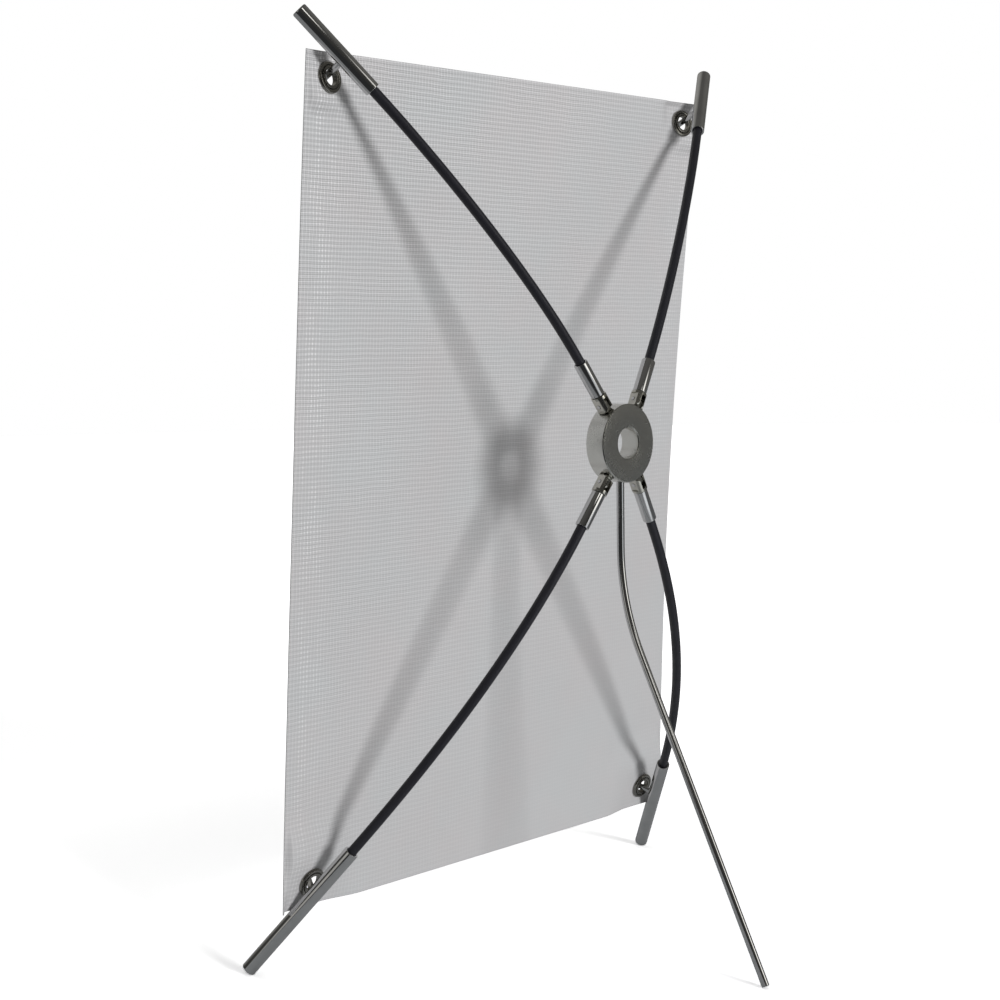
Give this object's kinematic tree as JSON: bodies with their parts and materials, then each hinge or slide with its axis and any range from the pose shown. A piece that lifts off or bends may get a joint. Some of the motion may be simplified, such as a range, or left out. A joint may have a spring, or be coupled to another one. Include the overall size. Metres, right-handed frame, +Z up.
{
  "type": "x banner stand",
  "caption": "Table-top X banner stand: a ring hub with springy folding arms that hook a small banner's corner eyelets, propped by a bent rear leg.",
  "frame": {"origin": "middle of the footprint's bounding rectangle, on the surface that the stand rests on", "axes": "+Z up, the banner's face looks along -Y, the rear leg is on the +Y side, +X is on the left of someone who faces the banner's back"},
  "size_m": [0.3176, 0.2096, 0.4705],
  "materials": {
    "hub_steel": "turned and lightly polished",
    "chrome": "bright plated",
    "knuckle_steel": "milled flats, plated",
    "glass_fibre": "satin black pultruded rod",
    "scrim_vinyl": "white coated scrim, fine woven grid on the back",
    "nickel": "pressed and nickel plated"
  },
  "bodies": {
    "hub": {"hub_ring": "hub_steel", "upper_left_hinge_lug": "knuckle_steel", "upper_right_hinge_lug": "knuckle_steel", "lower_left_hinge_lug": "knuckle_steel", "lower_right_hinge_lug": "knuckle_steel"},
    "arm_upper_left": {"upper_left_hinge_pin": "chrome", "upper_left_knuckle": "knuckle_steel", "upper_left_ferrule": "chrome", "upper_left_rod": "glass_fibre", "upper_left_tip_tube": "chrome", "upper_left_hook_pin": "chrome"},
    "arm_upper_right": {"upper_right_hinge_pin": "chrome", "upper_right_knuckle": "knuckle_steel", "upper_right_ferrule": "chrome", "upper_right_rod": "glass_fibre", "upper_right_tip_tube": "chrome", "upper_right_hook_pin": "chrome"},
    "arm_lower_left": {"lower_left_hinge_pin": "chrome", "lower_left_knuckle": "knuckle_steel", "lower_left_ferrule": "chrome", "lower_left_rod": "glass_fibre", "lower_left_foot_tube": "chrome", "lower_left_hook_pin": "chrome"},
    "arm_lower_right": {"lower_right_hinge_pin": "chrome", "lower_right_knuckle": "knuckle_steel", "lower_right_ferrule": "chrome", "lower_right_rod": "glass_fibre", "lower_right_foot_tube": "chrome", "lower_right_hook_pin": "chrome"},
    "banner": {"banner_sheet": "scrim_vinyl", "upper_left_eyelet": "nickel", "upper_right_eyelet": "nickel", "lower_left_eyelet": "nickel", "lower_right_eyelet": "nickel", "upper_left_eyelet_washer": "nickel", "upper_right_eyelet_washer": "nickel", "lower_left_eyelet_washer": "nickel", "lower_right_eyelet_washer": "nickel"},
    "leg": {"rear_leg": "chrome"}
  },
  "joints": [
    {"name": "fold_upper_left", "type": "hinge", "parent": "hub", "child": "arm_upper_left", "pos_m": [-0.0134, 0.01339, 0.28321], "axis": [-0.8358, 0, -0.549], "range_deg": [0, 90]},
    {"name": "fold_upper_right", "type": "hinge", "parent": "hub", "child": "arm_upper_right", "pos_m": [0.0134, 0.01339, 0.28321], "axis": [-0.8358, 0, 0.549], "range_deg": [0, 90]},
    {"name": "fold_lower_left", "type": "hinge", "parent": "hub", "child": "arm_lower_left", "pos_m": [-0.0134, 0.01339, 0.24242], "axis": [0.8358, 0, -0.549], "range_deg": [0, 90]},
    {"name": "fold_lower_right", "type": "hinge", "parent": "hub", "child": "arm_lower_right", "pos_m": [0.0134, 0.01339, 0.24242], "axis": [0.8358, 0, 0.549], "range_deg": [0, 90]},
    {"name": "take_off_banner", "type": "slide", "parent": "hub", "child": "banner", "axis": [0, -0.9971, 0.0767], "range_m": [0, 0.06]},
    {"name": "swivel_leg", "type": "hinge", "parent": "hub", "child": "leg", "pos_m": [0, 0.01339, 0.24284], "axis": [0, 0, 1], "continuous": true}
  ]
}
